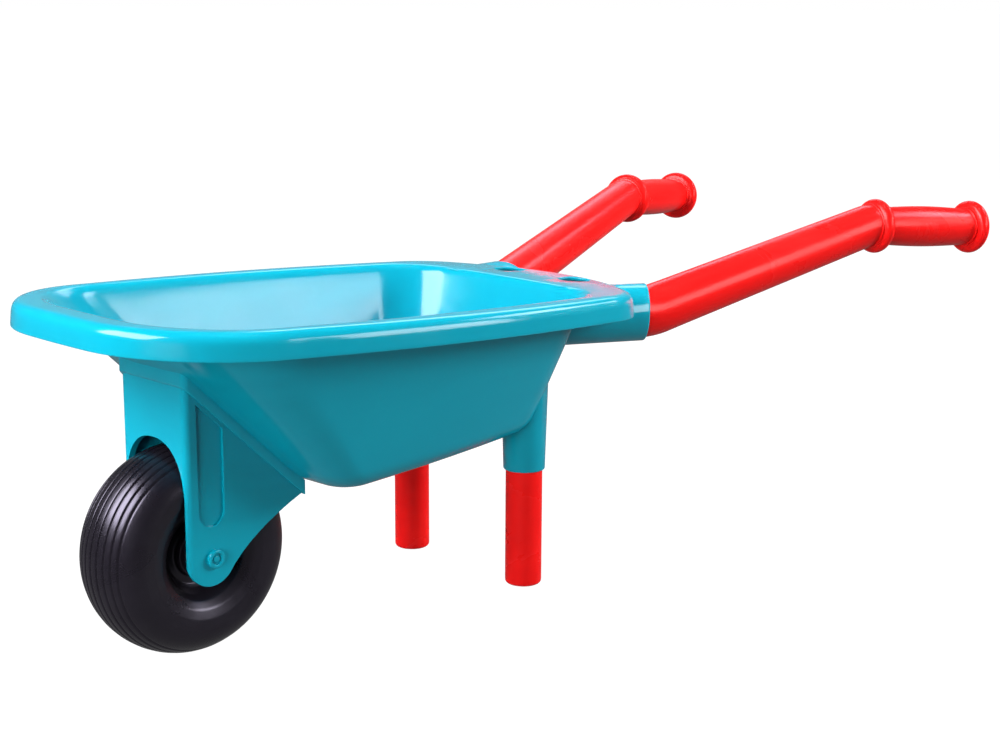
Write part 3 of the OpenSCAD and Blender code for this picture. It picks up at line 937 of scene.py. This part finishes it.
def softened(node, name, width, sharp=35):
    """A copy of a CAD node with its sharp edges rounded over a width, as a moulding's are."""
    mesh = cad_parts[node].data.copy()
    obj = bpy.data.objects.new(name, mesh)
    bpy.context.scene.collection.objects.link(obj)
    bm = bmesh.new()
    bm.from_mesh(mesh)
    # the triangles of one flat face become one face again, so that only real edges are rounded
    bmesh.ops.remove_doubles(bm, verts=bm.verts, dist=1e-6)
    bmesh.ops.dissolve_limit(bm, angle_limit=math.radians(0.6), verts=bm.verts, edges=bm.edges)
    bm.to_mesh(mesh)
    bm.free()
    mesh.shade_smooth()
    bevel = obj.modifiers.new("bevel", "BEVEL")
    bevel.width = width * MM
    bevel.segments = 3
    bevel.limit_method = "ANGLE"
    bevel.angle_limit = math.radians(sharp)
    bevel.harden_normals = False
    weights = obj.modifiers.new("normals", "WEIGHTED_NORMAL")
    weights.keep_sharp = True
    apply_modifiers(obj)
    return obj


fork = softened("fork", "fork_visual", 0.55)
finish_piece(fork, TEAL, "barrow", "teal_plastic", "fork")

# ---------------------------------------------------------------- the axle and its caps


def make_axle():
    """The pin with a thinner neck at each end, and the two round caps pushed onto the necks."""
    r, neck = 4.0, 2.3
    end = FORK_HALF_W + 2.0
    half = rounded([(r, 0), (r, FORK_HALF_W), (neck, FORK_HALF_W), (neck, end), (0, end)],
                   [0, 0.4, 0.2, 0.9, 0], 5)
    profile = [(q, -h) for q, h in half[::-1]] + [tuple(p) for p in half[1:]]
    pin = lathe("axle_pin_visual", profile, ACROSS, 48)
    shade(pin, 40)
    finish_piece(pin, TEAL, "barrow", "teal_plastic", "axle_pin")
    cap_r, cap_len, recess_r, hole_r, deep = 5.8, 2.6, 3.6, 2.35, 1.3
    z = FORK_HALF_W
    cap = rounded([(hole_r, z + deep), (hole_r, z), (cap_r, z), (cap_r, z + cap_len),
                   (recess_r, z + cap_len), (recess_r, z + cap_len - deep),
                   (hole_r, z + cap_len - deep)],
                  [0, 0, 0.25, 1.1, 0.45, 0.25, 0], 5)
    left = lathe("axle_cap_left_visual", cap, ACROSS, 64)
    finish_pair(left, "axle_cap", TEAL, "barrow", "teal_plastic")


make_axle()

# ---------------------------------------------------------------- floor and light

BACKDROP_R = 60.0
BACKDROP_GLOW = 1.0
FLOOR_TONE, DOME_TONE = 0.06, 0.0  # how much of the light that falls on them they give back


def make_stage():
    """A white floor and a round backdrop that glow for the camera alone: they neither light the barrow
    nor show in its reflections."""
    steps = 96
    ring = [(BACKDROP_R * math.cos(2 * math.pi * i / steps), BACKDROP_R * math.sin(2 * math.pi * i / steps))
            for i in range(steps)]
    floor = new_mesh_object("floor", [(x, y, 0) for x, y in ring], [tuple(range(steps))])
    rows, below_floor = 12, 0.01
    verts = []
    for k in range(rows + 1):
        a = math.pi / 2 * k / rows * 0.995  # stops just short of the zenith, where a flat face closes it
        z = BACKDROP_R * math.sin(a) - below_floor
        verts += [(x * math.cos(a), y * math.cos(a), z) for x, y in ring]
    dome = new_mesh_object("backdrop", verts, ring_faces(rows + 1, steps, False, True))
    for obj, tone in ((floor, FLOOR_TONE), (dome, DOME_TONE)):
        n = Nodes(obj.name)
        grain = n.mix(n.noise(40, detail=2), (tone * 0.98,) * 3, (tone,) * 3)
        n.set(Base_Color=grain, Roughness=0.9, Specular_IOR_Level=0.0,
              Emission_Color=(1, 1, 1, 1), Emission_Strength=BACKDROP_GLOW)
        obj.data.materials.append(n.material)
        obj.visible_diffuse = False
        obj.visible_glossy = False
        obj.visible_shadow = False


def area_light(name, direction, distance, size, radiance, target=(0, -0.05, 0.15), colour=(1, 1, 1)):
    """A softbox that faces the target from a direction. Its face is as bright whatever its size."""
    data = bpy.data.lights.new(name, "AREA")
    data.shape = "RECTANGLE"
    data.size, data.size_y = size
    data.energy = radiance * math.pi * size[0] * size[1]
    data.color = colour
    obj = bpy.data.objects.new(name, data)
    bpy.context.scene.collection.objects.link(obj)
    way = Vector(direction).normalized()
    obj.location = Vector(target) + way * distance
    obj.rotation_euler = way.to_track_quat("Z", "Y").to_euler()
    return obj


def make_world():
    """Dim light all round, a little stronger from below, as over a pale floor."""
    world = bpy.data.worlds.new("world")
    bpy.context.scene.world = world
    world.use_nodes = True
    tree = world.node_tree
    background = tree.nodes["Background"]
    coords = tree.nodes.new("ShaderNodeTexCoord")
    split = tree.nodes.new("ShaderNodeSeparateXYZ")
    ramp = tree.nodes.new("ShaderNodeMapRange")
    tree.links.new(coords.outputs["Generated"], split.inputs["Vector"])
    tree.links.new(split.outputs["Z"], ramp.inputs["Value"])
    low, high = -0.5, 0.2
    from_below, from_above = 0.22, 0.12
    settings = zip(("From Min", "From Max", "To Min", "To Max"), (low, high, from_below, from_above))
    for name, v in settings:
        ramp.inputs[name].default_value = v
    tree.links.new(ramp.outputs["Result"], background.inputs["Strength"])
    background.inputs["Color"].default_value = (1, 1, 1, 1)


def make_lights():
    cool = (0.75, 0.82, 1.0)
    # softboxes that show as highlights; box_right is nothing but a highlight
    area_light("key", (-0.25, -0.80, 0.62), 2.2, (1.7, 1.2), 14.5, colour=(0.95, 0.94, 1.0))
    area_light("box_right", (0.85, 0.47, 0.30), 1.0, (0.45, 0.33), 8.5).visible_diffuse = False
    area_light("grip_strip", (0.32, 0.755, 0.57), 1.88, (0.6, 0.35), 11, colour=cool)
    area_light("rim_strip", (-0.49, 0.67, 0.55), 1.84, (1.0, 0.4), 3.5, colour=cool)
    area_light("back", (-0.75, 0.65, 0.22), 2.0, (2.2, 1.0), 0.15)
    # fills that light the plastic but leave no highlight on it
    fills = (("front", (0.35, -1.0, 0.14), 13), ("side", (0.54, 0.77, 0.34), 24),
             ("top", (0.0, 0.10, 1.0), 14))
    for name, direction, radiance in fills:
        fill = area_light(name, direction, 2.2, (1.0, 0.8), radiance)
        fill.visible_glossy = False


make_stage()
make_world()
make_lights()
bpy.context.scene.view_settings.view_transform = "Standard"
